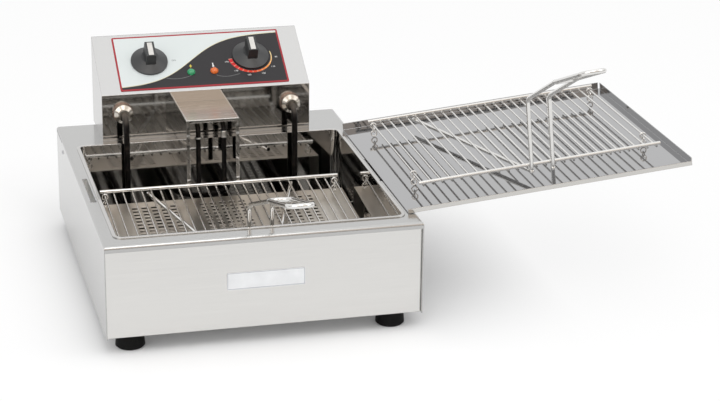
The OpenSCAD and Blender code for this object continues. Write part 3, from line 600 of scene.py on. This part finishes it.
def screws():
    bm = bmesh.new()
    head_back = Vector(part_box("head_rear_cover")[1]).y
    rear_back = Vector(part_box("casing")[1]).y
    for side in (-1, 1):
        outward = Vector((side, 0, 0))
        pan_head(bm, frame_at(place(side * SIDE_MM, 444, 139), outward, UPWARD))
        for back, across, heights in ((rear_back, 196, (40, 140)), (head_back, 142, (172, 272))):
            for height in heights:
                spot = place(side * across, 0, height)
                spot.y = back
                pan_head(bm, frame_at(spot, BACKWARD, UPWARD))
    return finish_piece(bm, "screws", plated_steel, "fryer", "zinc_steel")


print("made", screws().name)

# %% [markdown]
# ### Corner seam
# The casing's rear corner shows a short dark seam where the deck's fold was cut and closed. A
# sliver of a box lies along the fold on each side.

# %% Corner seam
SEAM_SIZE = (0.3 * MM, 62 * MM, 0.8 * MM)
SEAM_Y_MM, SEAM_Z_MM = 482, 152


def ink(name, tint):
    return moulded(name, tint, rough=0.4, relief=0.02)


def corner_seams():
    bm = bmesh.new()
    for side in (-1, 1):
        sliver = bmesh.ops.create_cube(bm, size=1.0)["verts"]
        bmesh.ops.scale(bm, vec=SEAM_SIZE, verts=sliver)
        middle = place(side * SIDE_MM, SEAM_Y_MM, SEAM_Z_MM)
        bmesh.ops.translate(bm, vec=middle, verts=sliver)
    return finish_piece(bm, "corner_seams", dark_ink, "fryer", "satin_steel")


dark_ink = ink("dark_ink", (0.08, 0.08, 0.085))
print("made", corner_seams().name)

# %% [markdown]
# ### Marks on the panel
# Dial numbers and the ON mark are text objects turned into meshes, laid a hair above the print.
# The two small signs by the lamps, a spark and a thermometer, are drawn from a few corners, and a
# thin line leads from each lamp to its knob: a bezier curve pulled out into a ribbon.

# %% Panel marks
INK_LIFT = 0.05 * MM
LINE_WIDTH, LINE_POINTS = 0.5 * MM, 16
MARK_HEIGHT, MARK_RADIUS, OFF_MARK_UP = 4.2 * MM, 39 * MM, 33 * MM
ON_HEIGHT, ON_ACROSS = 4.0 * MM, 37 * MM
SIGN_UP = -12 * MM
DIAL_DEGREES = {"90": 353, "110": 322, "130": 291, "150": 258, "170": 227, "190": 194}
SPARK = [(1.2, 4.2), (-2.4, -0.6), (-0.2, -0.4), (-1.4, -4.4), (2.4, 0.8), (0.3, 0.6)]
THERMOMETER = [(-0.8, 4), (0.8, 4), (0.8, -1.2), (1.8, -2.4),
               (1.2, -3.9), (-1.2, -3.9), (-1.8, -2.4), (-0.8, -1.2)]
white_ink = ink("white_ink", (0.80, 0.80, 0.79))
grey_ink = ink("grey_ink", (0.30, 0.30, 0.30))
yellow_ink = ink("yellow_ink", (0.80, 0.62, 0.08))


def lay_on_panel(bm, name, colour, across=0.0, along=0.0):
    """Move a flat drawing from the origin to its place on the print, and finish it as a piece."""
    at = frame_at(on_panel(across, along, INK_LIFT), PANEL_OUT, PANEL_UP)
    bmesh.ops.transform(bm, matrix=at, verts=bm.verts)
    return finish_piece(bm, name, colour, "fryer", "panel_print")


def printed_word(text, name, across, along, height, colour):
    curve = bpy.data.curves.new(name, "FONT")
    curve.body, curve.size = text, height
    curve.align_x, curve.align_y = "CENTER", "CENTER"
    holder = bpy.data.objects.new(name, curve)
    bm = bmesh.new()
    bm.from_mesh(holder.to_mesh())
    holder.to_mesh_clear()
    bpy.data.objects.remove(holder)
    return lay_on_panel(bm, name, colour, across, along)


def printed_shape(corners, name, across, along, colour):
    bm = bmesh.new()
    bm.faces.new([bm.verts.new((x * MM, y * MM, 0)) for x, y in corners])
    bmesh.ops.triangulate(bm, faces=bm.faces)
    return lay_on_panel(bm, name, colour, across, along)


def printed_line(name, points, colour):
    """A thin line through three points: a bezier whose handles lean towards the middle one."""
    start, middle, end = (Vector((x * MM, y * MM, 0)) for x, y in points)
    lean = 2 * middle - (start + end) / 2
    handles = start.lerp(lean, 2 / 3), end.lerp(lean, 2 / 3)
    bm = bmesh.new()
    verts = [bm.verts.new(at) for at in interpolate_bezier(start, *handles, end, LINE_POINTS)]
    edges = [bm.edges.new(pair) for pair in zip(verts, verts[1:])]
    made = bmesh.ops.extrude_edge_only(bm, edges=edges)["geom"]
    far_side = [part for part in made if isinstance(part, bmesh.types.BMVert)]
    bmesh.ops.translate(bm, vec=(0, LINE_WIDTH, 0), verts=far_side)
    return lay_on_panel(bm, name, colour)


marks = []
for word, degrees in DIAL_DEGREES.items():
    angle = math.radians(degrees)
    across = KNOB_ACROSS + MARK_RADIUS * math.cos(angle)
    along = KNOB_UP + MARK_RADIUS * math.sin(angle)
    marks.append(printed_word(word, "dial_" + word, across, along, MARK_HEIGHT, white_ink))
off_up = KNOB_UP + OFF_MARK_UP
marks += [
    printed_word("0", "dial_0", KNOB_ACROSS, off_up, MARK_HEIGHT, white_ink),
    printed_word("ON", "switch_on", ON_ACROSS - KNOB_ACROSS, KNOB_UP, ON_HEIGHT, dark_ink),
    printed_word("0", "switch_off", -KNOB_ACROSS, off_up, MARK_HEIGHT, dark_ink),
    printed_shape(SPARK, "spark_sign", -16.5 * MM, SIGN_UP, yellow_ink),
    printed_shape(THERMOMETER, "thermometer_sign", 17.5 * MM, SIGN_UP, white_ink),
    printed_line("switch_lead", [(-55.9, -33.6), (-37.1, -35.9), (-18.1, -31.0)], grey_ink),
    printed_line("dial_lead", [(19.3, -32.7), (34.1, -37.1), (55.2, -33.1)], grey_ink),
]
print("printed", len(marks), "marks")

# %% [markdown]
# ### Probe collars
# Each probe wears a thin bright ring under its bend, and the right one a ferrule above that ring.
# Each is a short turned piece: a profile of a few points, as radius and height in millimetres, is
# spun a full turn about the probe's own line.

# %% Probe collars
COLLAR_Z = 176 * MM
RING = [(3.55, 0), (5.0, 0), (5.2, 0.3), (5.2, 1.7), (5.0, 2), (3.55, 2)]
FERRULE = [(3.55, 2.1), (4.3, 2.1), (4.6, 2.6), (4.6, 9), (4.2, 10), (3.55, 10)]


def turned_ring(bm, profile, at):
    before = len(bm.verts)
    verts = [bm.verts.new((radius * MM, 0, height * MM)) for radius, height in profile]
    edges = [bm.edges.new(pair) for pair in zip(verts, verts[1:] + verts[:1])]
    bmesh.ops.spin(bm, geom=verts + edges, cent=(0, 0, 0), axis=(0, 0, 1), dvec=(0, 0, 0),
                   angle=math.tau, steps=28, use_merge=True)
    bmesh.ops.transform(bm, matrix=at, verts=list(bm.verts)[before:])


def probe_collars():
    bm = bmesh.new()
    for name, profiles in (("thermostat_probe", [RING]), ("cutout_probe", [RING, FERRULE])):
        lo, hi = (Vector(corner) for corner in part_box(name))
        radius = (hi.x - lo.x) / 2
        at = Matrix.Translation(Vector((lo.x + radius, lo.y + radius, COLLAR_Z)))
        for profile in profiles:
            turned_ring(bm, profile, at)
    return finish_piece(bm, "probe_collars", pointer_metal, "fryer", "gland_nickel")


print("made", probe_collars().name)

# %% [markdown]
# ## Floor, world and lamps
# The picture has a white ground with a soft shadow. The floor is pale and partly glows for the eye
# and for mirrors, so it reads as white and still keeps the lamps' shadow. The glow is weaker near
# the body, which paints shadow around it, and this painted shadow fades sooner at the sides than
# in front. The world is white to the camera, and milder as light. Mirrors see a room in it: warm
# on the camera's side, dark low down and dim overhead. That is what makes polished steel read as
# steel. Four broad lamps stand in for studio boxes.

# %% Floor
FLOOR_HALF, FLOOR_DROP = 9.0, 0.2 * MM
# GLOW_NEAR is the glow's share at the body: the smaller it is, the darker the painted shadow.
GLOW_NEAR, GLOW_GAIN = 0.07, 0.79
PAINTED_SHADOW_FROM, PAINTED_SHADOW_TO = -14.4 * MM, 345.6 * MM
PAINTED_SHADOW_SQUEEZE_RIGHT, PAINTED_SHADOW_SQUEEZE_LEFT = 1.5, 3

bm = bmesh.new()
bmesh.ops.create_grid(bm, x_segments=1, y_segments=1, size=FLOOR_HALF)
floor_mesh = bpy.data.meshes.new("floor")
bm.to_mesh(floor_mesh)
bm.free()
floor = bpy.data.objects.new("floor", floor_mesh)
bpy.context.collection.objects.link(floor)
floor.location.z = -FLOOR_DROP

floor_finish = Finish("floor_paper", Roughness=0.9, Base_Color=rgb(0.95, 0.95, 0.95))
_, shown = floor_finish.seen_rays()
x, y, _ = floor_finish.axes()
across = x - body_mid.x
past_right = (across - body_half.x) * PAINTED_SHADOW_SQUEEZE_RIGHT
past_left = (0 - across - body_half.x) * PAINTED_SHADOW_SQUEEZE_LEFT
past_ends = (y - body_mid.y).size() - body_half.y
beyond = past_right.most(past_left).most(past_ends)
# Painted shadow: the glow share is least at the body and rises outwards, so the floor is darker
# near it.
share = shown * (GLOW_NEAR + GLOW_GAIN * beyond.rise(PAINTED_SHADOW_FROM, PAINTED_SHADOW_TO))
glow = floor_finish.node("ShaderNodeEmission", {}, {"Color": rgb(1, 1, 1), "Strength": 1.0})
paper = Wire(floor_finish, floor_finish.shader.outputs[0])
blend = floor_finish.node("ShaderNodeMixShader", {}, {0: share, 1: paper, 2: glow})
surface = floor_finish.tree.nodes["Material Output"].inputs[0]
floor_finish.tree.links.new(blend.socket, surface)
floor_mesh.materials.append(floor_finish.material)

# %% World and lamps
WHITE, FRONT_TONE = rgb(1, 1, 1), rgb(1.0, 0.90, 0.81)
LOW_TONE, CEILING_TONE = rgb(0.16, 0.145, 0.13), rgb(0.45, 0.45, 0.45)
LIGHT_STRENGTH = 0.62
LAMPS = {  # place, aim, width in metres, power in watts
    "top_box": ((0.1, -0.2, 2.4), (0, 0, 0.1), 3.4, 26),
    "front_box": ((-0.2, -1.5, 2.3), (0, 0, 0.1), 1.2, 8),
    "left_box": ((-1.9, -1.4, 1.3), (-0.1, 0, 0.1), 1.8, 13),
    "right_box": ((2.0, -1.0, 1.5), (0.1, 0, 0.1), 1.8, 8),
}

world = bpy.data.worlds.new("studio")
bpy.context.scene.world = world
world.use_nodes = True
studio = Graph(world.node_tree)
eye, shown = studio.seen_rays()
way = studio.node("ShaderNodeTexCoord", output="Generated")
_, way_y, way_z = studio.outputs("ShaderNodeSeparateXYZ", {0: way})
front = way_y.rise(-0.3, -0.7) * (1 - eye)
low = way_y.rise(0.55, 0.15) * way_z.rise(0.26, 0.06) * (1 - eye)
ceiling = way_z.rise(0.7, 0.9) * (1 - eye)
tone = studio.mix(front, WHITE, FRONT_TONE)
tone = studio.mix(low, tone, LOW_TONE)
tone = studio.mix(ceiling, tone, CEILING_TONE)
light = studio.node("ShaderNodeBackground", {}, {"Color": WHITE, "Strength": LIGHT_STRENGTH})
backdrop = studio.node("ShaderNodeBackground", {}, {"Color": tone, "Strength": 1.0})
sky = studio.node("ShaderNodeMixShader", {}, {0: shown, 1: light, 2: backdrop})
studio.tree.links.new(sky.socket, studio.tree.nodes["World Output"].inputs[0])

for name, (at, aim, width, power) in LAMPS.items():
    lamp = bpy.data.lights.new(name, "AREA")
    lamp.shape, lamp.size, lamp.energy = "SQUARE", width, power
    holder = bpy.data.objects.new(name, lamp)
    holder.location = at
    holder.rotation_euler = (Vector(aim) - Vector(at)).to_track_quat("-Z", "Y").to_euler()
    bpy.context.collection.objects.link(holder)
bpy.context.scene.view_settings.view_transform = "Standard"
print("floor, world and lamps ready")
